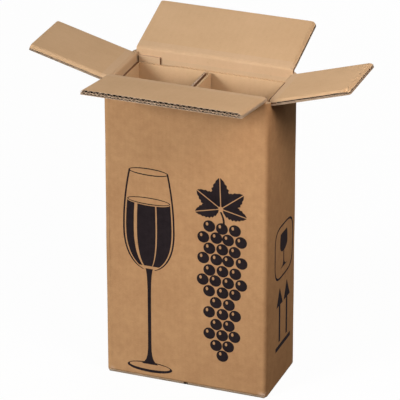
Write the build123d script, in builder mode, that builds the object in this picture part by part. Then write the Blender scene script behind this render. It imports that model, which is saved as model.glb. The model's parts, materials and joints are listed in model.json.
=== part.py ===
from build123d import *
import os
from math import atan2, cos, degrees, radians, sin, tan

# A shipping carton for two bottles: one folded sheet of double-wall board, its four top flaps
# standing open, and a thinner sheet folded to a divider that stands inside and makes two cells.
# Millimetres, +Z up. The origin is under the middle of the base, and the printed broad wall faces -Y.

# Double-wall board: three liners with a coarse wave behind the inner one and a finer one outside
liner_count = 3
liner_thickness = 0.4
inner_wave_height = 3.1
inner_wave_pitch = 7.4
outer_wave_height = 2.2
outer_wave_pitch = 4.9
board_thickness = liner_count * liner_thickness + inner_wave_height + outer_wave_height
flute_open_depth = 24
flute_end_margin = 2
flute_base_share = 0.72
flute_top_share = 0.16

# Carton walls
carton_width = 213
carton_depth = 105
side_score_height = 393
corner_fold_radius = 6.5
corner_inside_radius = 1
inner_width = carton_width - 2 * board_thickness
inner_depth = carton_depth - 2 * board_thickness

# Scored folds that carry the flaps: a bead on the flap turns in a shallow seat on the wall
fold_depth = 1.5
fold_bead_radius = 1.2
fold_clearance = 0.3
widest_opening = 150
fold_play_angle = 1.5
outer_relief_angle = (180 - widest_opening) / 2 - fold_play_angle
inner_relief_angle = 90 / 2 - fold_play_angle

# Top flaps: the side pair closes first and meets in the middle, the front flap closes over it, and
# the back flap, cut a little longer, comes down last on the front one
closing_clearance = 0.5
broad_score_height = side_score_height + board_thickness + closing_clearance
front_flap_length = 83
back_flap_length = 86.6
corner_slot_width = 4.5
slot_clearance = 0.5
slot_rise = 4
flap_side_clearance = 1
flap_meeting_gap = 1
broad_flap_width = carton_width - 2 * corner_slot_width
side_flap_length = (carton_width - flap_meeting_gap) / 2 - fold_depth
side_flap_width = inner_depth - 2 * flap_side_clearance
front_rest_angle = 81.5
back_rest_angle = 70.8
left_rest_angle = 75
right_rest_angle = 73.2

# Glued bottom: the broad walls' flaps lie inside, the side walls' flaps lie under them
bottom_fold_radius = 3
bottom_meeting_gap = 3
bottom_edge_setback = 1.5
floor_height = 2 * board_thickness

# Glue tab that closes the sheet, pressed thin, inside the back wall at the left corner. It reaches
# up to the back score, so the slot beside it is wider and the left flap narrower by its thickness
tab_width = 30
tab_thickness = 3
tab_top = broad_score_height - board_thickness
left_flap_width = side_flap_width - tab_thickness
left_flap_shift = tab_thickness / 2

# Divider sheet with its two ends turned in side by side between the cells, a little off the middle
insert_thickness = 3
insert_fold_radius = 3
insert_clearance = 0.4
divider_gap = 2
divider_offset = 5.5
insert_top_drop = 8
insert_height = side_score_height - insert_top_drop - floor_height

# Cutting tools run this far past the faces that they cut
overrun = 2


def fold_plane(outward, half_span, height, angle):
    """Plane across a fold line, centred on it: X points through the board to its inner face,
    Y runs along the panel, which leans outward from upright by the angle in degrees."""
    up = Vector(0, 0, 1)
    inner_face = up * sin(radians(angle)) - outward * cos(radians(angle))
    fold_centre = outward * (half_span - fold_depth) + up * height
    return Plane(fold_centre, x_dir=inner_face, z_dir=up.cross(outward))


def flute_openings(width, pitch, height, centre):
    """Open ends of one wave across a cut edge, as trapezoids that point up and down in turn."""
    base = flute_base_share * pitch
    slope = degrees(atan2(height, (base - flute_top_share * pitch) / 2))
    half_pitch = pitch / 2
    count = int((width - 2 * flute_end_margin - base) / half_pitch) + 1
    start = -half_pitch * (count - 1) / 2
    with BuildSketch() as openings:
        with Locations(*[(start + half_pitch * i, centre) for i in range(0, count, 2)]):
            Trapezoid(base, height, slope)
        with Locations(*[(start + half_pitch * i, centre) for i in range(1, count, 2)]):
            Trapezoid(base, height, slope, rotation=180)
    return openings.sketch


def make_flap(outward, half_span, height, angle, width, length, shift):
    """One top flap: a board that narrows to a round bead on its fold line, with the open ends
    of both waves along its far cut edge."""
    inner_face = board_thickness - fold_depth
    plane = fold_plane(outward, half_span, height, angle).offset(shift)
    tip_plane = Plane(plane.from_local_coords(Vector(0, length, 0)), x_dir=plane.z_dir, z_dir=plane.y_dir)
    inner_wave_centre = inner_face - liner_thickness - inner_wave_height / 2
    outer_wave_centre = outer_wave_height / 2 + liner_thickness - fold_depth
    inner_wave = flute_openings(width, inner_wave_pitch, inner_wave_height, inner_wave_centre)
    outer_wave = flute_openings(width, outer_wave_pitch, outer_wave_height, outer_wave_centre)
    with BuildPart() as flap:
        with BuildSketch(plane):
            with BuildLine():
                Polyline(
                    (0, 0),
                    (-fold_depth, fold_depth / tan(radians(outer_relief_angle))),
                    (-fold_depth, length),
                    (inner_face, length),
                    (inner_face, inner_face / tan(radians(inner_relief_angle))),
                    close=True,
                )
            make_face()
            Circle(fold_bead_radius)
        extrude(amount=width / 2, both=True)
        with BuildSketch(tip_plane):
            add(inner_wave)
            add(outer_wave)
        extrude(amount=-flute_open_depth, mode=Mode.SUBTRACT)
    return flap.part


# Outward direction, half span, score height, rest angle, width and length of each top flap, and its
# shift along the fold line
flap_places = {
    "front_flap": (Vector(0, -1, 0), carton_depth / 2, broad_score_height, front_rest_angle,
                   broad_flap_width, front_flap_length, 0),
    "back_flap": (Vector(0, 1, 0), carton_depth / 2, broad_score_height, back_rest_angle,
                  broad_flap_width, back_flap_length, 0),
    "left_flap": (Vector(-1, 0, 0), carton_width / 2, side_score_height, left_rest_angle,
                  left_flap_width, side_flap_length, left_flap_shift),
    "right_flap": (Vector(1, 0, 0), carton_width / 2, side_score_height, right_rest_angle,
                   side_flap_width, side_flap_length, 0),
}

# Carton body: walls, glued bottom flaps and glue tab are one folded sheet
with BuildPart() as carton_body:
    with BuildSketch(Plane.XY.offset(board_thickness)):
        RectangleRounded(carton_width, carton_depth, corner_fold_radius)
        RectangleRounded(inner_width, inner_depth, corner_inside_radius, mode=Mode.SUBTRACT)
    extrude(amount=broad_score_height - board_thickness)

    # The broad walls turn in at the bottom over a rounded fold
    for facing in (-1, 1):
        fold_centre = Plane(
            (0, facing * (carton_depth / 2 - bottom_fold_radius), board_thickness + bottom_fold_radius),
            x_dir=(0, facing, 0),
            z_dir=(facing, 0, 0),
        )
        with BuildSketch(fold_centre):
            Rectangle(bottom_fold_radius + overrun, bottom_fold_radius + overrun, align=(Align.MIN, Align.MAX))
            Circle(bottom_fold_radius, mode=Mode.SUBTRACT)
        extrude(amount=carton_width / 2 + overrun, both=True, mode=Mode.SUBTRACT)

    # Side walls' bottom flaps, butted under the middle of the base
    under_length = (carton_width - bottom_meeting_gap) / 2
    with BuildSketch():
        with GridLocations(under_length + bottom_meeting_gap, 0, 2, 1):
            Rectangle(under_length, carton_depth - 2 * bottom_edge_setback)
    extrude(amount=board_thickness)
    base_edges = carton_body.edges().filter_by(Axis.Y).group_by(Axis.Z)[0].sort_by(Axis.X)
    fillet([base_edges[0], base_edges[-1]], bottom_fold_radius)

    # Broad walls' bottom flaps, glued down on top of them
    inside_length = (inner_depth + board_thickness - bottom_meeting_gap) / 2
    with BuildSketch(Plane.XY.offset(board_thickness)):
        with GridLocations(0, inside_length + bottom_meeting_gap, 1, 2):
            Rectangle(inner_width, inside_length)
    extrude(amount=board_thickness)

    # Glue tab
    with BuildSketch(Plane.XY.offset(floor_height)):
        with Locations((-inner_width / 2, inner_depth / 2)):
            Rectangle(tab_width, tab_thickness, align=(Align.MIN, Align.MAX))
    extrude(amount=tab_top - floor_height)

    # Slots that part the flaps at the four corners
    with BuildSketch(Plane.XY.offset(side_score_height + slot_rise)):
        Rectangle(carton_width + overrun, carton_depth + overrun)
        Rectangle(broad_flap_width + 2 * slot_clearance, carton_depth + overrun, mode=Mode.SUBTRACT)
        Rectangle(carton_width + overrun, inner_depth, mode=Mode.SUBTRACT)
    extrude(amount=broad_score_height - side_score_height - slot_rise + overrun, mode=Mode.SUBTRACT)

    # Wall tops: bevelled on both faces up to the fold line, with a round seat for the flap's bead
    for outward, half_span, height, _, width, _, _ in flap_places.values():
        past_outer = fold_depth + overrun
        past_inner = board_thickness - fold_depth + overrun
        clear_height = broad_score_height - side_score_height + overrun
        seat_width = inner_depth if height == side_score_height else width + 2 * slot_clearance
        with BuildSketch(fold_plane(outward, half_span, height, 0)):
            with BuildLine():
                Polyline(
                    (0, 0),
                    (-past_outer, -past_outer / tan(radians(outer_relief_angle))),
                    (-past_outer, clear_height),
                    (past_inner, clear_height),
                    (past_inner, -past_inner / tan(radians(inner_relief_angle))),
                    close=True,
                )
            make_face()
            Circle(fold_bead_radius + fold_clearance)
        extrude(amount=seat_width / 2, both=True, mode=Mode.SUBTRACT)

# Divider: the sheet runs from the free end beside the back wall to the front, round the left cell,
# along the back, round the right cell and back in beside its own start
with BuildPart() as bottle_insert:
    edge_room = insert_clearance + insert_thickness / 2
    side_x = inner_width / 2 - edge_room
    front_y = -inner_depth / 2 + edge_room
    back_y = inner_depth / 2 - tab_thickness - edge_room
    divider_half = (insert_thickness + divider_gap) / 2
    left_end_x = -divider_offset - divider_half
    right_end_x = -divider_offset + divider_half
    free_y = back_y - insert_thickness / 2 - fold_clearance
    with BuildSketch(Plane.XY.offset(floor_height)):
        with BuildLine():
            FilletPolyline(
                (left_end_x, free_y),
                (left_end_x, front_y),
                (-side_x, front_y),
                (-side_x, back_y),
                (side_x, back_y),
                (side_x, front_y),
                (right_end_x, front_y),
                (right_end_x, free_y),
                radius=insert_fold_radius,
            )
        trace(line_width=insert_thickness)
    extrude(amount=insert_height)

os.makedirs("parts", exist_ok=True)
carton_body.part.label = "carton_body"
export_step(carton_body.part, "parts/carton_body.step")
bottle_insert.part.label = "bottle_insert"
export_step(bottle_insert.part, "parts/bottle_insert.step")
for name, place in flap_places.items():
    flap = make_flap(*place)
    flap.label = name
    export_step(flap, f"parts/{name}.step")
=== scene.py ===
import json
from math import cos, pi, radians, sin

import bpy
import numpy as np
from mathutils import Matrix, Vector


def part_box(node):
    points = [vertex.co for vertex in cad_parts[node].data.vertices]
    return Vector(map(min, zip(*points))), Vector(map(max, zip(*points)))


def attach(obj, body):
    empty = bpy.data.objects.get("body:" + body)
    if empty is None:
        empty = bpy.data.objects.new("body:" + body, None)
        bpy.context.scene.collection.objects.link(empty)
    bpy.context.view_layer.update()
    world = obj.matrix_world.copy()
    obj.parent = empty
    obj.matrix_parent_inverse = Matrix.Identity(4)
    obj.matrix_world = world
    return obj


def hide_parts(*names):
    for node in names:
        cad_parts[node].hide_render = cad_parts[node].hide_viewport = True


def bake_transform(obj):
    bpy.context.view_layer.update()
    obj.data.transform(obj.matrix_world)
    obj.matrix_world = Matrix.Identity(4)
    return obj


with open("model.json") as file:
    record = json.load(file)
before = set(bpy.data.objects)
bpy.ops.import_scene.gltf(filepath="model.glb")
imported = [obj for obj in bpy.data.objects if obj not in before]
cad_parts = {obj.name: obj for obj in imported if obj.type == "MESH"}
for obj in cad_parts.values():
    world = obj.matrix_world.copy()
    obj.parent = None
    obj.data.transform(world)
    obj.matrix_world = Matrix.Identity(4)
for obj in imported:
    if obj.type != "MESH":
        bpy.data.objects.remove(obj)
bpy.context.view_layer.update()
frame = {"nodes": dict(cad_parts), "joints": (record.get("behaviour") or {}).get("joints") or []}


# Carton walls
# One sheet of double-wall kraft board, folded at four upright creases that the scoring wheel has
# pressed round. The slots between the top flaps leave a short post of board at each corner, and the
# foot turns in over a round fold with rubbed corners.

board_thickness = 0.0065
fine_pitch = 0.0049
coarse_pitch = 0.0074
stripe_height = 0.000008
corner_radius = 0.0065
inside_radius = 0.001
bottom_radius = 0.003
base_setback = 0.0015
crushed_flap = 0.0024
slot_rise = 0.004
fold_reach = 0.009

# Slow unevenness of the panels: its height in metres, and its waves in radians and radians per metre
bow_height = 0.00025
bow_across = 47
bow_up = 23
bow_start = 0.7
bow_drift = 1.3
bow_drift_up = 31

# Rubbed corners of the foot: where the wear begins and where it is full, from the outer faces inward
# and from the ground up
scuff_from_side = (0.0125, 0.0035)
scuff_from_front = (0.0105, 0.0025)
scuff_rise = (0.010, 0.004)

# Grid of the walls: columns to a turn of the fine wave, fewest columns to a run, and rows
columns_per_wave = 6
fewest_columns = 13
step_gap = 0.000001
outer_rows = 40
inner_rows = 24
turn_rows = 7

# Places of the papers in every list of finishes; the last is a dark paper colour painted as the shade inside
# flute openings and gaps
outside, inside, raw_cut, painted_shade = range(4)

half_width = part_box("carton_body")[1].x
half_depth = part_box("carton_body")[1].y
under_half = half_depth - base_setback
folds = {joint["child"]: joint for joint in frame["joints"]}
up = np.array([0.0, 0.0, 1.0])
side_score = folds["left_flap"]["pos_m"][2]
post_top = side_score + slot_rise


def make_piece(name, grids, materials):
    """Joins point grids into one mesh. Each grid is (points, uv, material, flipped): points is rows by
    columns by 3, material is one number, or one for each column of faces or for each face, and a face
    looks along columns crossed with rows unless it is flipped."""
    points, uvs, quads, slots = [], [], [], []
    first = 0
    for place, uv, slot, flipped in grids:
        rows, columns = place.shape[:2]
        corner = first + np.arange(rows * columns).reshape(rows, columns)
        faces = np.stack([corner[:-1, :-1], corner[:-1, 1:], corner[1:, 1:], corner[1:, :-1]], -1)
        faces = faces.reshape(-1, 4)
        quads.append(faces[:, ::-1] if flipped else faces)
        slots.append(np.broadcast_to(slot, (rows - 1, columns - 1)).ravel())
        points.append(place.reshape(-1, 3))
        uvs.append(uv.reshape(-1, 2))
        first += rows * columns
    points, uvs, quads, slots = map(np.concatenate, (points, uvs, quads, slots))
    mesh = bpy.data.meshes.new(name)
    mesh.vertices.add(len(points))
    mesh.vertices.foreach_set("co", points.astype(np.float32).ravel())
    mesh.loops.add(quads.size)
    mesh.loops.foreach_set("vertex_index", quads.astype(np.int32).ravel())
    mesh.polygons.add(len(quads))
    mesh.polygons.foreach_set("loop_start", np.arange(0, quads.size, 4, dtype=np.int32))
    mesh.polygons.foreach_set("material_index", slots.astype(np.int32))
    mesh.polygons.foreach_set("use_smooth", np.ones(len(quads), bool))
    layer = mesh.uv_layers.new(name="board")
    layer.data.foreach_set("uv", uvs[quads.ravel()].astype(np.float32).ravel())
    for material in materials:
        mesh.materials.append(material)
    mesh.update(calc_edges=True)
    mesh.validate()
    piece = bpy.data.objects.new(name, mesh)
    bpy.context.scene.collection.objects.link(piece)
    return piece


def linear(red, green, blue):
    """Screen colour, 0 to 255, as the linear light that a shader socket takes."""
    screen = np.array([red, green, blue]) / 255
    light = np.where(screen <= 0.04045, screen / 12.92, ((screen + 0.055) / 1.055) ** 2.4)
    return (*light.tolist(), 1.0)


def add_node(tree, kind, settings=None, **sockets):
    """Adds a shader node, sets its properties and fills its input sockets with values or links. A
    socket is named in words, or numbered after an underscore."""
    node = tree.nodes.new(kind)
    for key, value in (settings or {}).items():
        setattr(node, key, value)
    for key, value in sockets.items():
        socket = node.inputs[int(key[1:])] if key[0] == "_" else node.inputs[key.replace("_", " ")]
        if isinstance(value, bpy.types.NodeSocket):
            tree.links.new(value, socket)
        else:
            socket.default_value = value
    return node


def noise(tree, place, scale, detail, roughness=0.5):
    """Cloudy noise from 0 to 1 over a place, finer with a larger scale."""
    node = add_node(tree, "ShaderNodeTexNoise", Vector=place, Scale=scale, Detail=detail,
                    Roughness=roughness)
    return node.outputs["Fac"]


def ramp(tree, value, start, end, low=0.0, high=1.0):
    """Carries a value evenly from the range start to end into the range low to high, and no further."""
    node = add_node(tree, "ShaderNodeMapRange", Value=value, From_Min=start, From_Max=end, To_Min=low,
                    To_Max=high)
    return node.outputs[0]


def reckon(tree, operation, *values, clamp=False):
    """One step of arithmetic on links or numbers, held between 0 and 1 if it is clamped."""
    numbered = {f"_{place}": value for place, value in enumerate(values)}
    node = add_node(tree, "ShaderNodeMath", {"operation": operation, "use_clamp": clamp}, **numbered)
    return node.outputs[0]


def mix_tones(tree, share, first, second):
    """Colour that goes from the first to the second by a share."""
    node = add_node(tree, "ShaderNodeMix", {"data_type": "RGBA"}, Factor=share, A=first, B=second)
    return node.outputs["Result"]


def foot_scuff(tree, where, blotches):
    """Share of wear at the corners of the foot: near both faces of a corner, low down, and in blotches."""
    place = add_node(tree, "ShaderNodeSeparateXYZ", Vector=where["Object"]).outputs
    wide = reckon(tree, "ABSOLUTE", place["X"])
    deep = reckon(tree, "ABSOLUTE", place["Y"])
    side_near = ramp(tree, wide, half_width - scuff_from_side[0], half_width - scuff_from_side[1])
    front_near = ramp(tree, deep, half_depth - scuff_from_front[0], half_depth - scuff_from_front[1])
    low = ramp(tree, place["Z"], *scuff_rise)
    foot_corner = reckon(tree, "MULTIPLY", low, reckon(tree, "MULTIPLY", side_near, front_near))
    return reckon(tree, "MULTIPLY", foot_corner, ramp(tree, blotches, start=0.38, end=0.5))


def kraft_paper(name, light_tone, dark_tone, stripe_pitch, stripe_share=0.02, blotch=0.2, scuff_tone=None):
    """Kraft paper: clouds and blotches of two tones, fine fibres laid across the flutes, scattered
    flecks, and the faint stripes of the wave glued behind it. A scuff tone shows in blotches where the
    foot of the carton is rubbed at its corners."""
    material = bpy.data.materials.new(name)
    material.use_nodes = True
    tree = material.node_tree
    tree.nodes.clear()
    where = add_node(tree, "ShaderNodeTexCoord").outputs
    laid = add_node(tree, "ShaderNodeMapping", Vector=where["UV"], Scale=(260.0, 1300.0, 1.0))
    clouds = noise(tree, where["Object"], scale=16.0, detail=3.0)
    blotches = noise(tree, where["Object"], scale=110.0, detail=4.0, roughness=0.6)
    fibres = noise(tree, laid.outputs[0], scale=1.0, detail=5.0, roughness=0.7)
    flecks = noise(tree, where["Object"], scale=380.0, detail=2.0)
    across = add_node(tree, "ShaderNodeSeparateXYZ", Vector=where["UV"]).outputs["X"]
    stripe = reckon(tree, "COSINE", reckon(tree, "MULTIPLY", across, 2 * pi / stripe_pitch))
    cloud_share = ramp(tree, clouds, start=0.3, end=0.7, low=0.1, high=0.4)
    blotch_share = ramp(tree, blotches, start=0.3, end=0.75, low=-0.5 * blotch, high=1.5 * blotch)
    fibre_share = ramp(tree, fibres, start=0.25, end=0.75, low=-0.15, high=0.25)
    fleck_share = ramp(tree, flecks, start=0.66, end=0.8, low=0.0, high=0.45)
    mottle = reckon(tree, "ADD", cloud_share, blotch_share)
    grain = reckon(tree, "ADD", fibre_share, fleck_share)
    speckle = reckon(tree, "ADD", mottle, grain)
    shade = reckon(tree, "MULTIPLY_ADD", stripe, stripe_share, speckle, clamp=True)
    colour = mix_tones(tree, shade, linear(*light_tone), linear(*dark_tone))
    if scuff_tone:
        colour = mix_tones(tree, foot_scuff(tree, where, blotches), colour, linear(*scuff_tone))
    bump = add_node(tree, "ShaderNodeBump", Height=fibres, Strength=0.2, Distance=0.0002)
    paper = add_node(tree, "ShaderNodeBsdfPrincipled", Base_Color=colour, Normal=bump.outputs[0],
                     Roughness=0.9, Specular_IOR_Level=0.06)
    add_node(tree, "ShaderNodeOutputMaterial", Surface=paper.outputs[0])
    return material


outer_liner = kraft_paper("outer_liner", (205, 160, 115), (173, 128, 89), fine_pitch,
                          scuff_tone=(236, 204, 180))
# The walls' inner liner is the same paper as the flaps' inner liner, in a tone set for the light on the
# walls: painted light and shade
wall_liner_lit_tone = kraft_paper("wall_liner_lit_tone", (202, 174, 142), (184, 156, 122), coarse_pitch, blotch=0.07)
cut_edge = kraft_paper("cut_edge", (214, 190, 164), (158, 128, 102), fine_pitch, stripe_share=0.0)
wall_finish = [outer_liner, wall_liner_lit_tone, cut_edge]


def solid_points(node_name):
    """Corners of a node's solid at rest, as rows of x, y and z."""
    solid = frame["nodes"][node_name].data
    corners = np.empty(len(solid.vertices) * 3)
    solid.vertices.foreach_get("co", corners)
    return corners.reshape(-1, 3)


def flap_span(flap_name):
    """Extent of a resting flap's solid along its fold line, measured from the middle of the fold."""
    joint = folds[flap_name]
    reach = (solid_points(flap_name) - np.array(joint["pos_m"])) @ np.array(joint["axis"], float)
    return reach.min(), reach.max()


def round_outline(distance, half_x, half_y, radius):
    """Rounded rectangle by distance round it from the left end of the front wall: each wall is a
    straight run, then a quarter circle. Gives places and outward directions."""
    runs = 2 * np.array([half_x - radius, half_y - radius] * 2)
    starts = np.concatenate([[0], np.cumsum(runs + radius * pi / 2)])
    wall = np.clip(np.searchsorted(starts, distance, side="right") - 1, 0, 3)
    along = np.stack([np.cos(wall * pi / 2), np.sin(wall * pi / 2)], -1)
    outward = np.stack([along[:, 1], -along[:, 0]], -1)
    passed = distance - starts[wall]
    turn = np.maximum(passed - runs[wall], 0)[:, None] / radius
    straight = (np.minimum(passed, runs[wall]) - runs[wall] / 2)[:, None]
    reach = np.where(wall % 2 == 0, half_y, half_x)[:, None]
    places = along * (straight + radius * np.sin(turn)) + outward * (reach - radius * (1 - np.cos(turn)))
    return places, outward * np.cos(turn) + along * np.sin(turn)


def outline_stops(half_x, half_y, radius):
    """Distances at which the straight runs and the quarter circles of an outline begin and end."""
    lengths = np.array([2 * (half_x - radius), radius * pi / 2, 2 * (half_y - radius), radius * pi / 2] * 2)
    return np.concatenate([[0], np.cumsum(lengths)])


wall_order = ("front_flap", "right_flap", "back_flap", "left_flap")
flap_edges = np.array([flap_span(name) for name in wall_order])
inner_half_width = half_width - board_thickness
inner_half_depth = half_depth - board_thickness
outer_stops = outline_stops(half_width, half_depth, corner_radius)
inner_stops = outline_stops(inner_half_width, inner_half_depth, inside_radius)
wall_middle = (outer_stops[0:8:2] + outer_stops[1:8:2]) / 2
wall_run = (outer_stops[1:8:2] - outer_stops[0:8:2]) / 2


def wall_distance(wall, place):
    """Distance round the outline of a place on a wall, which may lie in the corner beyond its run."""
    beyond = np.clip(np.abs(place) - wall_run[wall], 0, None)
    run_part = np.minimum(np.abs(place), wall_run[wall])
    way = run_part + corner_radius * np.arcsin(beyond / corner_radius)
    return (wall_middle[wall] + np.sign(place) * way) % outer_stops[-1]


def panel_wave(across, height):
    """Slight unevenness of a board panel: slow sine waves across and up that fade out at the folds."""
    fade = np.sin(pi * np.clip(height / side_score, 0, 1))
    drift = bow_drift * np.sin(bow_drift_up * height)
    return bow_height * fade * np.sin(bow_across * across + drift) * np.sin(bow_up * height + bow_start)


def upright_rows(line, low, high, shares):
    """Rows of points over a ground line: each row stands at its share of the way from low to high."""
    height = low[None] + shares[:, None] * (high - low)[None]
    return np.concatenate([np.broadcast_to(line[None], (len(shares), *line.shape)), height[..., None]], -1)


def board_uv(across, along):
    """Pattern coordinates in metres: across the flutes and along them."""
    return np.stack(np.broadcast_arrays(across, along), -1)


# The columns are even, with a close pair at each step of the upper and the lower edge
steps_up = np.concatenate([wall_distance(wall, flap_edges[wall]) for wall in range(4)])
steps_down = np.concatenate([wall_distance(wall, np.array([-under_half, under_half])) for wall in (1, 3)])
step_columns = np.concatenate([steps_up, steps_down])
even_columns = []
for run_start, run_end in zip(outer_stops[:-1], outer_stops[1:]):
    count = round((run_end - run_start) / fine_pitch * columns_per_wave) + 1
    even_columns.append(np.linspace(run_start, run_end, max(fewest_columns, count)))
distance = np.unique(np.concatenate([*even_columns, step_columns - step_gap, step_columns + step_gap]))
outer_line, outward = round_outline(distance, half_width, half_depth, corner_radius)
inner_line, _ = round_outline(np.interp(distance, outer_stops, inner_stops), inner_half_width,
                              inner_half_depth, inside_radius)
round_length = distance - wall_middle[0]

# Under a flap the wall ends below its score, and the side walls reach the ground between the setbacks
faces_squarely, faces_partly = 0.9, 0.3
wall_top = np.full(len(distance), post_top)
wall_foot = np.full(len(distance), crushed_flap)
for wall, flap_name in enumerate(wall_order):
    along_wall = np.array([cos(wall * pi / 2), sin(wall * pi / 2)])
    facing = outward @ np.array([along_wall[1], -along_wall[0]])
    place = outer_line @ along_wall
    low, high = flap_edges[wall]
    below_flap = (facing > faces_squarely) & (place > low) & (place < high)
    wall_top[below_flap] = folds[flap_name]["pos_m"][2] - fold_reach
    if wall % 2:
        wall_foot[(facing > faces_partly) & (np.abs(place) < under_half)] = 0.0

stripes = stripe_height * np.cos(2 * pi * round_length / fine_pitch)
outer_wall = upright_rows(outer_line, wall_foot + bottom_radius, wall_top, np.linspace(0, 1, outer_rows))
unevenness = stripes[None] + panel_wave(round_length[None], outer_wall[..., 2])
outer_wall[..., :2] += unevenness[..., None] * outward
inner_wall = upright_rows(inner_line, wall_foot + board_thickness, wall_top, np.linspace(0, 1, inner_rows))
turn_in = np.linspace(pi / 2, 0, turn_rows)[:, None]
foot_fold = np.concatenate([
    outer_wall[:1, :, :2] - (bottom_radius * (1 - np.cos(turn_in)))[..., None] * outward[None],
    (wall_foot[None] + bottom_radius * (1 - np.sin(turn_in)))[..., None]], -1)
wall_rim = np.stack([outer_wall[-1], inner_wall[-1]])
wall_heel = np.stack([inner_wall[0], foot_fold[0]])
wall_surfaces = ((outer_wall, outside, False), (foot_fold, outside, False), (inner_wall, inside, True),
                 (wall_rim, inside, False), (wall_heel, raw_cut, False))
carton_walls = make_piece("carton_walls", [
    (surface, board_uv(round_length[None], surface[..., 2]), face, flipped)
    for surface, face, flipped in wall_surfaces], wall_finish)
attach(carton_walls, "carton")
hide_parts("carton_body")


# Top flaps
# Four panels of the same board beyond the top scores, standing open. The knife leaves both waves
# open along the far edge, where the paper inside the flutes is painted as shade, and the slotting blades
# crush the board thin along the side cuts.

fold_depth = 0.0015
widest_opening = 150
liner_thickness = 0.0004
fine_paper = 0.0006
coarse_paper = 0.0005
fine_height = 0.0022
coarse_height = 0.0031
fine_steps = 12
coarse_steps = 16
crush_reach = 0.0028
# Width beside a side cut that is painted shade at a butt
butt_shade_reach = 0.002
wear_power = 10

# Rows along a flap lie close together towards its far edge
row_shares = np.concatenate([np.linspace(0, 0.84, 8), np.linspace(0.89, 1, 12)])

# Seen from inside the carton, the first two numbers are for the left-hand and the right-hand side cut:
# the length lost at the far corners, and the crushed shares of the thickness, with the far edge's third.
# Flanks are the pale shares of the outermost half turn of the fine and of the coarse wave; the rest is
# painted shade.
corner_clips = {"front_flap": (0.0005, 0.0005), "back_flap": (0.0005, 0.0018),
                "left_flap": (0.0005, 0.0005), "right_flap": (0.0005, 0.0015)}
cut_crushes = {"front_flap": (0.42, 0.42, 0.03), "back_flap": (0.12, 0.4, 0.05),
               "left_flap": (0.56, 0.12, 0.05), "right_flap": (0.1, 0.36, 0.4)}
cut_flanks = {"front_flap": (1, 1), "back_flap": (1, 0), "left_flap": (0.25, 0.08), "right_flap": (1, 0.1)}

# A dent beside the front corner of the right flap's far edge
nick_inset = 0.0035
nick_setback = 0.0055
nick_radius = 0.0024
nick_depth_share = 0.75

inner_liner = kraft_paper("inner_liner", (208, 175, 138), (187, 154, 116), coarse_pitch, blotch=0.07)
# Dark brown painted shade for the paper inside the flutes, seen in the open flutes and at the side cuts
flute_shade_paint = kraft_paper("flute_shade_paint", (66, 46, 34), (34, 24, 18), fine_pitch, stripe_share=0.0)
board_finish = [outer_liner, inner_liner, cut_edge, flute_shade_paint]


def thin_sheet(across, along, middle, thickness, faces):
    """One closed sheet of paper over a grid: middle gives its height through the board, and it is half a
    thickness thick on each side. faces are materials of under side, upper side, both ends and both sides."""
    under_face, upper_face, end_face, side_face = faces
    flat = np.stack(np.broadcast_arrays(across[None], along), -1)
    under = np.concatenate([flat, (middle - thickness / 2)[..., None]], -1)
    over = np.concatenate([flat, (middle + thickness / 2)[..., None]], -1)
    sheet = [(over, upper_face, False), (under, under_face, True)]
    edges = ((np.s_[0, :], end_face, False), (np.s_[-1, :], end_face, True),
             (np.s_[:, 0], side_face, True), (np.s_[:, -1], side_face, False))
    for edge, face, flipped in edges:
        sheet.append((np.stack([under[edge], over[edge]]), face, flipped))
    return sheet


def cut_gap(line, width):
    """Distance from the middle of each strip between two points of a line to the nearer side cut."""
    return width / 2 - np.abs(line[1:] + line[:-1]) / 2


def wave_line(width, pitch, steps, flank):
    """Places across a wave, its angle at each of them, which begins and ends on a half turn, and the
    material of its strips: pale torn paper on the flank next to a side cut, painted shade elsewhere."""
    line = np.linspace(-width / 2, width / 2, int(width / pitch) * steps + 1)
    turn = 2 * pi * (0.5 + np.linspace(0, round(width / pitch), len(line)))
    return line, turn, np.where(cut_gap(line, width) < flank * pitch / 2, raw_cut, painted_shade)


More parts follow.
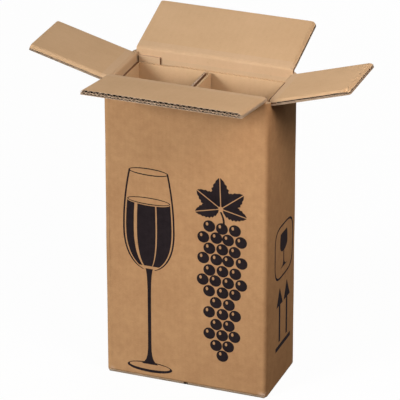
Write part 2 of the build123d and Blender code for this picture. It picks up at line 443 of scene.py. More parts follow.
def double_wall(width, start, end, squeeze, trim, flanks, butt_shade=0.0):
    """Double-wall board lying flat: outer liner, fine wave, middle liner, coarse wave, inner liner.
    Each wave is a cosine across the board, fitted to its width so that it rises from both side cuts.
    squeeze(across, along) scales heights above the outer liner, and trim(across) is what the far edge
    lacks of its full length. flanks are the shares of the fine and the coarse wave's outermost half turn
    that show as pale torn paper at the side cuts; the rest is painted shade. The last argument is the
    length from the start along which the side cuts and the faces next to them are painted shade at a butt."""
    butt_shade_share = butt_shade / (end - start)
    share = np.unique(np.concatenate([[butt_shade_share], row_shares]))
    butt_shade_rows = share[1:] <= butt_shade_share
    fine_line, fine_turn, fine_face = wave_line(width, fine_pitch, fine_steps, flanks[0])
    coarse_line, coarse_turn, coarse_face = wave_line(width, coarse_pitch, coarse_steps, flanks[1])
    middle_base = liner_thickness + fine_height
    coarse_base = middle_base + liner_thickness
    fine_wave = 0.5 * (fine_height - fine_paper) * np.cos(fine_turn)
    coarse_wave = 0.5 * (coarse_height - coarse_paper) * np.cos(coarse_turn)
    # Faces that look into the flutes are painted shade: the under sides of the middle and inner liners, and
    # the waves' upper faces away from the pale flanks
    layers = [
        (fine_line, liner_thickness / 2 + stripe_height * np.cos(fine_turn), liner_thickness,
         (outside, raw_cut, raw_cut, raw_cut)),
        (fine_line, liner_thickness + fine_height / 2 + fine_wave, fine_paper,
         (raw_cut, fine_face, raw_cut, fine_face[0])),
        (fine_line, 0 * fine_line + middle_base + liner_thickness / 2, liner_thickness,
         (painted_shade, raw_cut, raw_cut, fine_face[0])),
        (coarse_line, coarse_base + coarse_height / 2 + coarse_wave, coarse_paper,
         (raw_cut, coarse_face, raw_cut, coarse_face[0])),
        (coarse_line, board_thickness - liner_thickness / 2 + stripe_height * np.cos(coarse_turn),
         liner_thickness, (painted_shade, inside, raw_cut, raw_cut)),
    ]
    sheets = []
    for line, height, thickness, (under_face, upper_face, end_face, side_face) in layers:
        along = start + (end - start) * share[:, None] - trim(line)[None] * share[:, None] ** wear_power
        lift = np.maximum(height - liner_thickness / 2, 0)[None] * squeeze(line[None], along)
        middle = np.minimum(height, liner_thickness / 2)[None] + lift
        # Near the butt, the side cuts and a strip of each face beside them are painted shade
        butt_shade_corner = butt_shade_rows[:, None] & (cut_gap(line, width) < butt_shade_reach)
        faces = (under_face, np.where(butt_shade_corner, painted_shade, upper_face), end_face,
                 np.where(butt_shade_rows, painted_shade, side_face))
        sheets += thin_sheet(line, along, middle, thickness, faces)
    return sheets


def place_board(name, sheets, origin, across, along, through):
    """Carries flat board into its place: across the flutes, along them and through the thickness."""
    grids = []
    for local, face, flipped in sheets:
        world = origin + local[..., :1] * across + local[..., 1:2] * along + local[..., 2:] * through
        grids.append((world, local[..., :2], face, flipped))
    return make_piece(name, grids, board_finish)


def fold_frame(joint):
    """Directions at a fold: along the fold line, outward, along the resting flap and out of its inner
    face, and the lean. The flap leans outward from upright by the widest opening less what is left of
    its travel."""
    line = np.array(joint["axis"], float)
    outward_way = np.cross(line, up)
    lean = radians(widest_opening - joint["range_deg"][1])
    along = outward_way * sin(lean) + up * cos(lean)
    inner_face = up * sin(lean) - outward_way * cos(lean)
    return line, outward_way, along, inner_face, lean


def side_crush(across, width, crushes):
    """Thickness share between two crushed side cuts: one less a bell curve of the gap to each."""
    return 1 - sum(crush * np.exp(-((width / 2 - side * across) / crush_reach) ** 2)
                   for side, crush in zip((-1, 1), crushes))


def flap_squeeze(width, end, crushes, nicks):
    """Thickness share over a flap: crushed side cuts, a far edge that the knife has pressed, and dents
    at the nicks, each a bell curve given as (across, along, radius, depth share)."""
    def share(across, along):
        far_edge = 1 - crushes[2] * np.exp(-((end - along) / crush_reach) ** 2)
        whole = side_crush(across, width, crushes[:2]) * far_edge
        for x, y, radius, depth in nicks:
            whole = whole * (1 - depth * np.exp(-((across - x) ** 2 + (along - y) ** 2) / radius ** 2))
        return whole
    return share


def worn_corners(width, clips):
    """Length that a flap lacks at its two far corners: a bell curve of the distance to each."""
    def trim(across):
        return sum(clip * np.exp(-((width / 2 - side * across) / clip) ** 2)
                   for side, clip in zip((-1, 1), clips))
    return trim


flap_sizes = {}
for flap_name, joint in folds.items():
    line, _, along, inner_face, _ = fold_frame(joint)
    pivot = np.array(joint["pos_m"])
    low, high = flap_span(flap_name)
    length = ((solid_points(flap_name) - pivot) @ along).max()
    width = high - low
    middle = pivot + line * (low + high) / 2
    flap_sizes[flap_name] = (width, middle)
    nicks = []
    if flap_name == "right_flap":
        nicks.append((width / 2 - nick_inset, length - nick_setback, nick_radius, nick_depth_share))
    squeeze = flap_squeeze(width, length, cut_crushes[flap_name], nicks)
    trim = worn_corners(width, corner_clips[flap_name])
    sheets = double_wall(width, fold_reach, length, squeeze, trim, cut_flanks[flap_name])
    origin = middle - fold_depth * inner_face
    board = place_board(flap_name + "_board", sheets, origin, -line, along, inner_face)
    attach(board, flap_name)
    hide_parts(flap_name)


# Top folds
# Where the sheet bends over its scores. The inner liner rolls over the top of the wall in a short round
# bend, with the furrow of the scoring wheel beside the flap, and the outer liner tucks in under it. On
# the right the inner liner sinks in a shallow groove along most of the score, painted brown as shade.

bend_radius = 0.0045
furrow_depth = 0.0005
furrow_place_share = 0.8
furrow_share = 0.14
tuck_share = 0.35
tuck_gap = 0.0012
tuck_run_share = 0.75
straight_rows = 5
arc_rows = 30
end_reach = 0.008
end_columns = 12
middle_inset = 0.01
middle_columns = 40

# The shaded groove in metres along the fold line and in rows across it, and the depths of the board's layers
# as shares of its thickness. A fold shows painted shade in its core at its ends where the pale share of its
# flap's coarse wave is less than dark_flank.
shade_line_start, shade_line_end = -0.043, 0.019
shade_line_first, shade_line_last = 23, 34
shade_line_depth_share = 0.1
layer_shares = np.array([0.0, 0.1, 0.45, 1.0])
dark_flank = 0.5

# Brown painted shade: in the groove along the right fold, in the core at some fold ends and on the glue
# tab's upright cut edges
core_shade_paint = kraft_paper("core_shade_paint", (116, 82, 56), (88, 60, 40), coarse_pitch, stripe_share=0.0)
# Copy of the same inner liner, a little lighter than on walls and flaps: a painted highlight on the crease
fold_liner_highlight = kraft_paper("fold_liner_highlight", (208, 177, 143), (189, 158, 123), coarse_pitch, blotch=0.07)
fold_finish = [outer_liner, fold_liner_highlight, cut_edge, core_shade_paint]


def fold_profile(lean):
    """Section across a fold about its axis, in inward and upward distances. The inner side rises up the
    wall, turns on an arc that touches wall and flap, with a furrow near the flap, and runs out on the
    flap. The outer side follows wall and flap and draws in towards the axis."""
    depth = board_thickness - fold_depth
    flap = np.array([-sin(lean), cos(lean)])
    face = np.array([cos(lean), sin(lean)])
    centre = (depth - bend_radius) / cos(lean / 2) * np.array([cos(lean / 2), sin(lean / 2)])
    touch = -centre[1]
    turn = np.linspace(0, lean, arc_rows)
    radius = bend_radius - furrow_depth * np.exp(-((turn / lean - furrow_place_share) / furrow_share) ** 2)
    rise = np.linspace(-fold_reach, -touch, straight_rows, endpoint=False)
    inner = np.concatenate([
        np.stack([np.full(straight_rows, depth), rise], -1),
        centre + radius[:, None] * np.stack([np.cos(turn), np.sin(turn)], -1),
        np.linspace(touch, fold_reach, straight_rows + 1)[1:, None] * flap + depth * face])
    run = np.linspace(tuck_gap, fold_reach, len(inner) // 2)
    near = np.clip(run / (tuck_run_share * fold_reach), 0, 1)
    inset = fold_depth * (tuck_share + (1 - tuck_share) * near * near * (3 - 2 * near))
    on_wall = np.stack([-inset, -run], -1)[::-1]
    on_flap = run[:, None] * flap - inset[:, None] * face
    return inner, np.concatenate([on_wall, on_flap])


def along_fold(section, fold_line, outward_way):
    """Carries a section, given in inward and upward distances, to each point of a fold line."""
    flat = section[:, 1:] * up - section[:, :1] * outward_way
    return fold_line[None] + flat[:, None]


for flap_name, joint in folds.items():
    line, outward_way, along, _, lean = fold_frame(joint)
    pivot = np.array(joint["pos_m"])
    width, middle = flap_sizes[flap_name]
    inner, outer = fold_profile(lean)
    ends = np.linspace(0, end_reach, end_columns)
    between = np.linspace(middle_inset - width / 2, width / 2 - middle_inset, middle_columns)
    reach = np.concatenate([ends - width / 2, between, width / 2 - ends[::-1]])
    fold_line = middle + reach[:, None] * line
    crushed = side_crush(-reach, width, cut_crushes[flap_name][:2])[None, :, None]
    on_flap_share = np.linspace(0, 1, len(inner))[:, None, None] ** 2
    shade_line = (reach > shade_line_start) & (reach < shade_line_end) & (flap_name == "right_flap")
    sunk = np.zeros((len(inner), len(reach), 1))
    sunk[shade_line_first + 1:shade_line_last, shade_line] = shade_line_depth_share
    under = along_fold(outer, fold_line, outward_way)
    full_depth = along_fold(inner, fold_line, outward_way) - under
    over = under + full_depth * (1 - on_flap_share * (1 - crushed)) * (1 - sunk)
    run_in = np.concatenate([[0], np.cumsum(np.linalg.norm(np.diff(inner, axis=0), axis=1))])
    pattern = board_uv(reach[None], run_in[:, None])
    before, groove, after = np.s_[:shade_line_first + 1], np.s_[shade_line_first:shade_line_last + 1], np.s_[shade_line_last:]
    groove_face = np.where(shade_line[1:] & shade_line[:-1], painted_shade, inside)
    layers = over + layer_shares[:, None, None, None] * (under - over)
    core = painted_shade if cut_flanks[flap_name][1] < dark_flank else raw_cut
    cut_ends = [(layers[layer:layer + 2, :, end], np.stack([pattern[:, end]] * 2), face, flipped)
                for end, flipped in ((0, True), (-1, False))
                for layer, face in enumerate((raw_cut, core, raw_cut))]
    cut_ends += [(layers[:, edge], np.stack([pattern[edge]] * len(layers)), raw_cut, flipped)
                 for edge, flipped in ((0, False), (-1, True))]
    fold = make_piece(flap_name + "_fold", [
        (over[before], pattern[before], inside, True),
        (over[groove], pattern[groove], groove_face, True),
        (over[after], pattern[after], inside, True),
        (under, pattern, outside, False),
        *cut_ends,
    ], fold_finish)
    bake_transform(fold)


# Bottom flaps
# The side walls' flaps lie undermost, crushed along their side cuts, which show mostly painted shade, with
# more painted shade at the ends where they butt under the middle of the base. The broad walls' flaps are
# glued down on them inside.

meeting_gap = 0.0008
under_crush = 0.66
under_flanks = (0.3, 0.2)
inside_flanks = (1, 1)
# Lengths from the butt over which the undermost flaps' side cuts are painted shade, left and right
butt_shade_lengths = {"left": 0.0032, "right": 0.0014}


def crushed_sides(across, along):
    """Thickness share of a bottom flap that the slotting blades have crushed along both side cuts."""
    return side_crush(across, 2 * under_half, (under_crush, under_crush)) + 0 * along


def whole_board(across, along):
    """Board that is not squeezed: a share of one everywhere."""
    return np.ones(np.broadcast(across, along).shape)


def straight_cut(across):
    """Far edge cut straight: nothing is lacking."""
    return 0 * across


for way, side_name, broad_name in ((-1, "left", "front"), (1, "right", "back")):
    sideways = np.array([way, 0, 0.0])
    backward = np.array([0, way, 0.0])
    under_length = half_width - bottom_radius - meeting_gap / 2
    sheets = double_wall(2 * under_half, 0.0, under_length, crushed_sides, straight_cut, under_flanks,
                         butt_shade_lengths[side_name])
    origin = meeting_gap / 2 * sideways + stripe_height * up
    under_flap = place_board("under_flap_" + side_name, sheets, origin, backward, sideways, up)
    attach(under_flap, "carton")
    inside_length = inner_half_depth - meeting_gap / 2
    sheets = double_wall(2 * inner_half_width, 0.0, inside_length, whole_board, straight_cut, inside_flanks)
    origin = meeting_gap / 2 * backward + board_thickness * up
    inside_flap = place_board("inside_flap_" + broad_name, sheets, origin, -sideways, backward, up)
    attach(inside_flap, "carton")


# Glue tab
# The end of the sheet, pressed thin and glued flat inside the back wall at the left corner. It reaches
# up to the back score, and its upright cut edges are painted brown as the shade of a step down the wall.

tab_width = 0.030
tab_bend = 0.0022
tab_thickness = 0.003
tab_columns = 24
tab_rows = 30
tab_top = folds["back_flap"]["pos_m"][2] - board_thickness
tab_left = tab_bend - inner_half_width
tab_finish = [outer_liner, wall_liner_lit_tone, cut_edge, core_shade_paint]


def edge_strip(first, second, pattern, edge, face, flipped):
    """Strip of faces along one edge of two like sheets, from the first to the second."""
    return np.stack([first[edge], second[edge]]), np.stack([pattern[edge]] * 2), face, flipped


tab_across = np.linspace(tab_left, tab_left + tab_width - tab_bend, tab_columns)
tab_height = np.linspace(2 * board_thickness, tab_top, tab_rows)
tab_front = inner_half_depth - tab_thickness
tab_face = np.stack(np.broadcast_arrays(tab_across[None], tab_front, tab_height[:, None]), -1)
tab_glued = tab_face + [0, tab_thickness, 0]
tab_uv = tab_face[..., ::2].copy()
glue_tab = make_piece("glue_tab", [
    (tab_face, tab_uv, inside, False),
    (tab_glued, tab_uv, inside, True),
    edge_strip(tab_face, tab_glued, tab_uv, np.s_[-1, :], raw_cut, False),
    edge_strip(tab_face, tab_glued, tab_uv, np.s_[0, :], raw_cut, True),
    edge_strip(tab_face, tab_glued, tab_uv, np.s_[:, -1], painted_shade, True),
    edge_strip(tab_face, tab_glued, tab_uv, np.s_[:, 0], painted_shade, False),
], tab_finish)
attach(glue_tab, "carton")


# Bottle divider
# A lighter single-wall sheet folded round both cells, with its two ends turned in side by side as a
# double wall between them. It only stands in the carton, and the knife has pressed its upper cut shut.

insert_thickness = 0.003
insert_liner = 0.0005
insert_wave_paper = 0.0016
insert_pitch = 0.0062
insert_radius = 0.0014
insert_steps = 10
fold_steps = 9
divider_left = -0.008
divider_right = -0.003
free_end_gap = 0.0003

# The upper edge leans out of true: how far, and where along the walls each lean begins and over what
# length it grows. The shaded cut is the upper edge along the left wall, painted dark brown as shade.
left_lean_by, left_lean_from, left_lean_over = 0.0004, 0.075, 0.02
free_lean_by, free_lean_rate = 0.0012, 3
back_lean_by, back_lean_from, back_lean_over = 0.0033, 0.030, 0.01
back_lean_left, back_lean_grown = -0.064, 0.02
end_run = 0.1
lean_power = 5
shaded_reach = 0.0012

insert_low, insert_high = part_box("bottle_insert")
insert_share = np.sqrt(np.linspace(0, 1, 12))
# The divider's liner is paler than the carton's: partly its own tone, partly painted light for the shaded
# cells
insert_lit_tone = kraft_paper("insert_liner", (217, 185, 147), (195, 161, 123), insert_pitch, blotch=0.07)
# Dark brown painted shade on the sheet's outer face, seen in the gaps between the divider's walls and along
# the upper cut beside the left wall
insert_gap_shade = kraft_paper("insert_gap_shade", (138, 100, 74), (112, 80, 58), insert_pitch, blotch=0.07)
insert_finish = [insert_lit_tone, insert_gap_shade, cut_edge, flute_shade_paint]


def filleted_path(corners, radius, spacing):
    """Follows straight runs joined by tangent quarter circles of one radius and gives evenly spaced
    points, their left-hand directions and the distance along the path."""
    corners = np.array(corners, float)
    ways = np.diff(corners, axis=0)
    ways = ways / np.linalg.norm(ways, axis=1)[:, None]
    points = [corners[:1]]
    for before, after, corner in zip(ways[:-1], ways[1:], corners[1:-1]):
        turn = np.linspace(0, pi / 2, fold_steps)[:, None]
        centre = corner - before * radius + after * radius
        points.append(centre + radius * (before * np.sin(turn) - after * np.cos(turn)))
    track = np.concatenate([*points, corners[-1:]])
    run = np.concatenate([[0], np.cumsum(np.linalg.norm(np.diff(track, axis=0), axis=1))])
    even = np.linspace(0, run[-1], int(run[-1] / spacing) + 1)
    line = np.stack([np.interp(even, run, track[:, k]) for k in range(2)], -1)
    slope = np.gradient(line, even, axis=0)
    slope = slope / np.linalg.norm(slope, axis=1)[:, None]
    return line, np.stack([-slope[:, 1], slope[:, 0]], -1), even


def grown(place, start, length):
    """Share from 0 to 1 that grows evenly from a starting place over a length."""
    return np.clip((place - start) / length, 0, 1)


half_sheet = insert_thickness / 2
side_x = insert_high.x - half_sheet
front_y = insert_low.y + half_sheet
back_y = insert_high.y - half_sheet
free_y = back_y - half_sheet - free_end_gap
path, leftward, run = filleted_path([
    (divider_left, free_y), (divider_left, front_y), (-side_x, front_y), (-side_x, back_y),
    (side_x, back_y), (side_x, front_y), (divider_right, front_y), (divider_right, free_y)],
    insert_radius, insert_pitch / insert_steps)
insert_rows = insert_low.z + insert_share * (insert_high.z - insert_low.z)
divider_run = free_y - front_y
free_end = np.clip(free_lean_rate * (1 - run / divider_run), 0, 1)
left_lean = left_lean_by * grown(-path[:, 0], left_lean_from, left_lean_over) - free_lean_by * free_end
back_lean = back_lean_by * grown(path[:, 1], back_lean_from, back_lean_over)
back_lean *= grown(path[:, 0], back_lean_left, back_lean_grown)
back_lean[(run < end_run) | (run > run[-1] - end_run)] = 0.0
sheet_lean = np.stack([left_lean, back_lean, 0 * run], -1)
top_cut = np.where(run[1:] < divider_run, raw_cut, outside)
shaded_cut = np.where(path[1:, 0] < shaded_reach - side_x, inside, top_cut)


def standing_sheet(offset, thickness, right_face, left_face, upper_cut):
    """One paper of the divider: a strip at a sideways offset from the folded path, standing upright,
    closed by a cut along its top, its foot and both ends."""
    ground = np.zeros(len(path))
    right, left = (upright_rows(path + (offset + half)[:, None] * leftward, ground + insert_rows[0],
                                ground + insert_rows[-1], insert_share)
                   + sheet_lean[None] * (insert_share ** lean_power)[:, None, None]
                   for half in (-thickness / 2, thickness / 2))
    pattern = board_uv(run[None], insert_rows[:, None])
    edges = ((np.s_[0, :], raw_cut, True), (np.s_[-1, :], upper_cut, False),
             (np.s_[:, 0], raw_cut, True), (np.s_[:, -1], raw_cut, False))
    strips = [edge_strip(right, left, pattern, edge, face, flipped) for edge, face, flipped in edges]
    return [(right, pattern, right_face, False), (left, pattern, left_face, True), *strips]


liner_offset = np.full(len(run), half_sheet - insert_liner / 2)
wave_offset = (half_sheet - insert_liner - insert_wave_paper / 2) * np.cos(2 * pi * run / insert_pitch)
# The faces within the divider board are painted shade
insert_sheet = make_piece("insert_sheet", [
    *standing_sheet(-liner_offset, insert_liner, outside, painted_shade, top_cut),
    *standing_sheet(wave_offset, insert_wave_paper, painted_shade, painted_shade, shaded_cut),
    *standing_sheet(liner_offset, insert_liner, painted_shade, inside, shaded_cut),
], insert_finish)
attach(insert_sheet, "carton")
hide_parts("bottle_insert")


# Front print
# Black ink pressed on the broad wall before folding: a stemmed wine glass on the left and a bunch of
# grapes under a leaf on the right. The ink film follows the board and is cut as plain shapes.

ink_height = 0.00007
ink_root = 0.00005
ink = kraft_paper("print_ink", (48, 40, 42), (24, 19, 23), fine_pitch)
bowl_widest_share = 0.42
bowl_power = 2.3

# Wine glass: heights up the wall, half widths, and the strokes of its rings sideways and upward
glass_x = -0.048
glass_low, glass_bowl, glass_rim = 0.016, 0.150, 0.284
glass_wide, rim_wide, rim_tall = 0.034, 0.026, 0.005
glass_stroke = 0.0022
bowl_start_share, bowl_least = 0.012, 0.0034
rim_stroke = (0.0016, 0.0014)
wine_start_share, wine_share = 0.05, 0.70
wine_inset, wine_least, wine_sag, sag_power = 0.0040, 0.0012, 0.005, 6
wine_parts = ((-1.0, -0.66), (-0.52, 0.30), (0.36, 1.0))
wine_lift, wine_tall, wine_stroke = 0.0012, 0.0048, (0.0014, 0.0012)
stem_start, stem_over, stem_half = 0.004, 0.003, 0.0022
stem_foot, stem_foot_fade = 0.017, 0.006
stem_head, stem_head_fade = 0.002, 0.01
foot_halves, foot_stroke, foot_lift = (0.030, 0.0072), (0.003, 0.0026), 0.0012

# Bunch of grapes: berries in rows, each with a bare spot of shine, and a leaf of five lobes on a stalk
grape_x, grape_top = 0.048, 0.224
grape_radius, grape_step, grape_drop, grape_nudge = 0.0078, 0.0166, 0.0146, 0.0007
grape_rows = (3, 4, 3, 4, 3, 4, 3, 2, 3, 2, 3, 2, 1)
grape_points, grape_seed = 28, 12
shine_x, shine_y, shine_wide, shine_tall = -0.0028, 0.0026, 0.0016, 0.0023
leaf_root = np.array([grape_x - 0.002, 0.250])
leaf_lobes = ((-12, 0.031, 0.0085), (38, 0.034, 0.0095), (92, 0.038, 0.0105), (146, 0.034, 0.0095),
              (194, 0.031, 0.0085))
lobe_start, vein_half = 0.003, 0.0006
lobe_power, tooth_share, tooth_turns = 0.8, 0.12, 7
stalk_top, stalk_drop, stalk_half = (grape_x - 0.002, 0.246), 0.020, 0.0013
stalk_sway, stalk_turn = 0.004, 2.2


def ink_film(flat, place_on_wall):
    """One closed film of ink over a grid of places, given in metres across the wall and up it: a face, a
    root in the paper and edges. A grid whose first and last columns meet is a ring."""
    face = place_on_wall(flat[..., 0], flat[..., 1], ink_height)
    root = place_on_wall(flat[..., 0], flat[..., 1], -ink_root)
    step = np.diff(flat[0], axis=0)
    side = (flat[-1] - flat[0])[:-1]
    flipped = bool((step[:, 0] * side[:, 1] - step[:, 1] * side[:, 0]).sum() < 0)
    edges = [(np.s_[0, :], flipped), (np.s_[-1, :], not flipped)]
    if np.linalg.norm(flat[0, 0] - flat[0, -1]) > step_gap:
        edges += [(np.s_[:, 0], not flipped), (np.s_[:, -1], flipped)]
    strips = [edge_strip(root, face, flat, edge, 0, turned) for edge, turned in edges]
    return [(face, flat, 0, flipped), (root, flat, 0, not flipped), *strips]


def ink_shape(first, second, place_on_wall, rows=4):
    """Film of ink between two outline curves of equal length, with rows from the first to the second."""
    share = np.linspace(0, 1, rows)[:, None, None]
    return ink_film(first[None] * (1 - share) + second[None] * share, place_on_wall)


def ink_upright(middle, half, level, place_on_wall, rows=4):
    """Film of ink that reaches as far to both sides of an upright line, by a half width at each level."""
    return ink_shape(board_uv(middle - half, level), board_uv(middle + half, level), place_on_wall, rows)


def oval(centre, half_wide, half_tall, count=40, power=2.0):
    """Closed oval by angle; a power above two squares it towards a rounded rectangle."""
    turn = np.linspace(0, 2 * pi, count + 1)
    wide = np.sign(np.cos(turn)) * np.abs(np.cos(turn)) ** (2 / power)
    tall = np.sign(np.sin(turn)) * np.abs(np.sin(turn)) ** (2 / power)
    return np.stack([centre[0] + half_wide * wide, centre[1] + half_tall * tall], -1)


def ink_ring(centre, halves, stroke, place_on_wall, lift=0.0, count=40, power=2.0):
    """Ring of ink between two ovals: the inner one is smaller by the stroke and may lie higher."""
    hole = oval((centre[0], centre[1] + lift), halves[0] - stroke[0], halves[1] - stroke[1], count, power)
    return ink_shape(hole, oval(centre, *halves, count, power), place_on_wall)


def on_front(across, height, lift):
    """Place on the outer face of the front wall, lifted off it."""
    return np.stack([across, -half_depth - lift - panel_wave(across, height), height], -1)


def bowl_half(share, widest, rim):
    """Half width of a glass bowl by height share: an oval foot up to its widest place, then a curve in
    to the rim."""
    low = np.clip(1 - np.abs(share / bowl_widest_share - 1) ** bowl_power, 0, 1) ** 0.5 * widest
    above = np.clip(share - bowl_widest_share, 0, 1) / (1 - bowl_widest_share)
    return np.where(share < bowl_widest_share, low, widest - (widest - rim) * above ** 2)


front_shapes = []
share = np.linspace(bowl_start_share, 1, 48)
half = np.maximum(bowl_half(share, glass_wide, rim_wide), bowl_least)
level = glass_bowl + share * (glass_rim - glass_bowl)
for side in (-1, 1):
    front_shapes += ink_shape(np.stack([glass_x + side * (half - glass_stroke), level], -1),
                              np.stack([glass_x + side * half, level], -1), on_front)
front_shapes += ink_ring((glass_x, glass_rim), (rim_wide, rim_tall), rim_stroke, on_front)
share = np.linspace(wine_start_share, wine_share, 40)
half = np.maximum(bowl_half(share, glass_wide, rim_wide) - wine_inset, wine_least)
level = glass_bowl + share * (glass_rim - glass_bowl)
sag = (share / wine_share) ** sag_power * wine_sag
for left, right in wine_parts:
    spread = np.linspace(left, right, 14)[:, None]
    bulge = np.sqrt(1 - spread ** 2)
    front_shapes += ink_film(np.stack([glass_x + spread * half, level - sag * bulge], -1), on_front)
wine_level = glass_bowl + wine_share * (glass_rim - glass_bowl)
wine_half = bowl_half(np.array([wine_share]), glass_wide, rim_wide)[0] - wine_inset
front_shapes += ink_ring((glass_x, wine_level + wine_lift), (wine_half, wine_tall), wine_stroke, on_front)
level = np.linspace(glass_low + stem_start, glass_bowl + stem_over, 50)
half = (stem_half + stem_foot * np.exp(-(level - glass_low) / stem_foot_fade)
        + stem_head * np.exp(-(glass_bowl - level) / stem_head_fade))
front_shapes += ink_upright(glass_x, half, level, on_front)
front_shapes += ink_ring((glass_x, glass_low), foot_halves, foot_stroke, on_front, foot_lift)

draw = np.random.default_rng(grape_seed)
for row, count in enumerate(grape_rows):
    for place in range(count):
        nudge = draw.uniform(-grape_nudge, grape_nudge, 2)
        centre = (grape_x + (place - (count - 1) / 2) * grape_step + nudge[0],
                  grape_top - row * grape_drop + nudge[1])
        shine = oval((centre[0] + shine_x, centre[1] + shine_y), shine_wide, shine_tall, grape_points)
        berry = oval(centre, grape_radius, grape_radius, grape_points)
        front_shapes += ink_shape(shine, berry, on_front, rows=2)
part = np.linspace(0, 1, 22)
for angle, long, wide in leaf_lobes:
    way = np.array([cos(radians(angle)), sin(radians(angle))])
    beside = np.array([-way[1], way[0]])
    spine = leaf_root + (lobe_start + part * long)[:, None] * way
    teeth = 1 + tooth_share * np.sin(2 * pi * tooth_turns * part)
    bulge = vein_half + wide * np.sin(pi * part ** lobe_power) ** lobe_power * teeth
    for side in (-1, 1):
        front_shapes += ink_shape(spine + side * vein_half * beside,
                                  spine + side * (vein_half + bulge)[:, None] * beside, on_front, rows=3)
part = np.linspace(0, 1, 20)
stalk_x = stalk_top[0] + stalk_sway * np.sin(stalk_turn * part)
front_shapes += ink_upright(stalk_x, stalk_half, stalk_top[1] - stalk_drop * part, on_front, rows=2)
front_print = make_piece("front_print", front_shapes, [ink])
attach(front_print, "carton")


# Handling marks
# The same ink on the right-hand narrow wall: a glass in a rounded frame for goods that break, and two
# arrows over a bar for the way up.

mark_y, mark_z = 0.0075, 0.180
frame_halves, frame_stroke = (0.0337, 0.036), (0.0025, 0.0025)
frame_points, frame_power = 64, 4.0
mark_bowl_wide, mark_rim_wide, mark_bowl_tall = 0.0135, 0.0115, 0.026
mark_bowl_drop, mark_bowl_start_share, mark_stem_half = 0.002, 0.02, 0.0014
mark_stem_low, mark_stem_high = 0.023, 0.0005
mark_foot, mark_foot_fade = 0.011, 0.0022
arrow_places = (-0.006, 0.020)
shaft_low, shaft_high, shaft_half = 0.058, 0.116, 0.0027
head_low, head_high, head_half, head_tip = 0.1085, 0.132, 0.0112, 0.0004
bar_start, bar_end, bar_low, bar_high = -0.020, 0.034, 0.048, 0.0538


def on_right(across, height, lift):
    """Place on the outer face of the right-hand wall, lifted off it."""
    round_place = across + wall_middle[1] - wall_middle[0]
    return np.stack([half_width + lift + panel_wave(round_place, height), across, height], -1)


mark_shapes = ink_ring((mark_y, mark_z), frame_halves, frame_stroke, on_right, count=frame_points,
                       power=frame_power)
share = np.linspace(mark_bowl_start_share, 1, 30)
half = np.maximum(bowl_half(share, mark_bowl_wide, mark_rim_wide), mark_stem_half)
mark_shapes += ink_upright(mark_y, half, mark_z - mark_bowl_drop + share * mark_bowl_tall, on_right)
level = np.linspace(mark_z - mark_stem_low, mark_z - mark_stem_high, 24)
half = mark_stem_half + mark_foot * np.exp(-(level - level[0]) / mark_foot_fade)
mark_shapes += ink_upright(mark_y, half, level, on_right)
for arrow_y in arrow_places:
    mark_shapes += ink_upright(arrow_y, shaft_half, np.linspace(shaft_low, shaft_high, 6), on_right, rows=2)
    head = np.linspace(head_half, head_tip, 10)
    mark_shapes += ink_upright(arrow_y, head, np.linspace(head_low, head_high, 10), on_right, rows=2)
bar = np.linspace(bar_start, bar_end, 12)
mark_shapes += ink_shape(board_uv(bar, bar_low), board_uv(bar, bar_high), on_right, rows=2)
handling_marks = make_piece("handling_marks", mark_shapes, [ink])
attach(handling_marks, "carton")


# Studio
# A pale floor, a main soft lamp at the front left, a weak one in front, a small warm one close on the
# right, one above and one low behind, and very weak even light from all round. The long lens looks
# down on the front right corner.

floor_half = 6.0
backdrop_share = 0.96
lamp_aim = 0.2
white_light = (1.0, 1.0, 1.0)
warm_light = (1.0, 0.88, 0.8)

# Camera: its place round the carton, where it aims, and the photograph's pixels to a metre there
camera_azimuth = radians(20.8516)
camera_elevation = radians(25.0788)
camera_roll = radians(-0.0336)
camera_distance = 4.0
aim_height = 0.2
aim_right = -0.000836
aim_up = 0.028598
scale_pixels = 809.7
frame_pixels = 400.0


def seen_directly(tree):
    """One for rays from the camera, straight or by way of gloss or glass, and zero for other light."""
    ray = add_node(tree, "ShaderNodeLightPath").outputs
    glossy = reckon(tree, "MAXIMUM", ray["Is Camera Ray"], ray["Is Glossy Ray"])
    return reckon(tree, "MAXIMUM", glossy, ray["Is Transmission Ray"])


def mix_shaders(tree, share, first, second):
    """Shader that goes from the first to the second by a share."""
    return add_node(tree, "ShaderNodeMixShader", _0=share, _1=first.outputs[0], _2=second.outputs[0])


floor_paint = bpy.data.materials.new("studio_floor")
floor_paint.use_nodes = True
paint = floor_paint.node_tree
paint.nodes.clear()
matt = add_node(paint, "ShaderNodeBsdfDiffuse", Color=(0.07, 0.06, 0.05, 1.0))
pale = add_node(paint, "ShaderNodeBsdfDiffuse", Color=(0.9, 0.9, 0.9, 1.0))
glow = add_node(paint, "ShaderNodeEmission", Color=(1.0, 1.0, 1.0, 1.0), Strength=1.0)
backdrop = mix_shaders(paint, backdrop_share, pale, glow)
floor_mix = mix_shaders(paint, seen_directly(paint), matt, backdrop)
add_node(paint, "ShaderNodeOutputMaterial", Surface=floor_mix.outputs[0])
floor_line = np.linspace(-floor_half, floor_half, 3)
floor_grid = np.stack(np.broadcast_arrays(floor_line[None], floor_line[:, None], 0.0), -1)
floor = make_piece("studio_floor", [(floor_grid, np.zeros((3, 3, 2)), 0, False)], [floor_paint])

world = bpy.data.worlds.new("studio")
bpy.context.scene.world = world
world.use_nodes = True
sky = world.node_tree
sky.nodes.clear()
dim = add_node(sky, "ShaderNodeBackground", Color=(1.0, 0.93, 0.86, 1.0), Strength=0.01)
white = add_node(sky, "ShaderNodeBackground", Color=(1.0, 1.0, 1.0, 1.0), Strength=1.0)
sky_mix = mix_shaders(sky, seen_directly(sky), dim, white)
add_node(sky, "ShaderNodeOutputWorld", Surface=sky_mix.outputs[0])


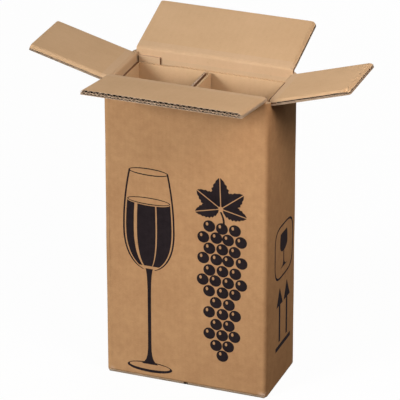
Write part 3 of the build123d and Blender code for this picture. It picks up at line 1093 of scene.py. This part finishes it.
def from_middle(azimuth, elevation):
    """Direction from the carton's middle. Azimuth 0 points to the front and 90 degrees to the right."""
    return np.array([sin(azimuth) * cos(elevation), -cos(azimuth) * cos(elevation), sin(elevation)])


def soft_lamp(name, azimuth, elevation, distance, size, power, colour):
    """Square lamp on a sphere round the carton's middle, facing it. Azimuth 0 stands in front."""
    away = from_middle(radians(azimuth), radians(elevation))
    lamp = bpy.data.lights.new(name, "AREA")
    lamp.size = size
    lamp.energy = power
    lamp.color = colour
    stand = bpy.data.objects.new(name, lamp)
    stand.location = distance * away + lamp_aim * up
    stand.rotation_mode = "QUATERNION"
    stand.rotation_quaternion = Vector(away).to_track_quat("Z", "Y")
    bpy.context.scene.collection.objects.link(stand)


soft_lamp("left_lamp", azimuth=-32, elevation=22, distance=3.0, size=0.9, power=68, colour=white_light)
soft_lamp("front_lamp", azimuth=-10, elevation=24, distance=3.0, size=2.0, power=12, colour=white_light)
soft_lamp("right_lamp", azimuth=60, elevation=48, distance=1.1, size=0.4, power=6.0, colour=warm_light)
soft_lamp("rear_lamp", azimuth=168, elevation=35, distance=3.0, size=2.0, power=32, colour=white_light)
soft_lamp("low_lamp", azimuth=184, elevation=2, distance=3.0, size=0.5, power=42, colour=white_light)

back = from_middle(camera_azimuth, camera_elevation)
level_way = np.array([cos(camera_azimuth), sin(camera_azimuth), 0.0])
upward = np.cross(back, level_way)
right_way = level_way * cos(camera_roll) + upward * sin(camera_roll)
up_way = upward * cos(camera_roll) - level_way * sin(camera_roll)
stand_place = right_way * aim_right + up_way * aim_up + aim_height * up + back * camera_distance
lens = bpy.data.cameras.new("camera")
lens.sensor_width = 36.0
lens.lens = lens.sensor_width * scale_pixels * camera_distance / frame_pixels
lens.clip_end = 100.0
camera = bpy.data.objects.new("camera", lens)
camera_rows = np.vstack([np.stack([right_way, up_way, back, stand_place], -1), [0, 0, 0, 1]])
camera.matrix_world = Matrix(camera_rows.tolist())
bpy.context.scene.collection.objects.link(camera)
bpy.context.scene.camera = camera
bpy.context.scene.view_settings.view_transform = "Standard"
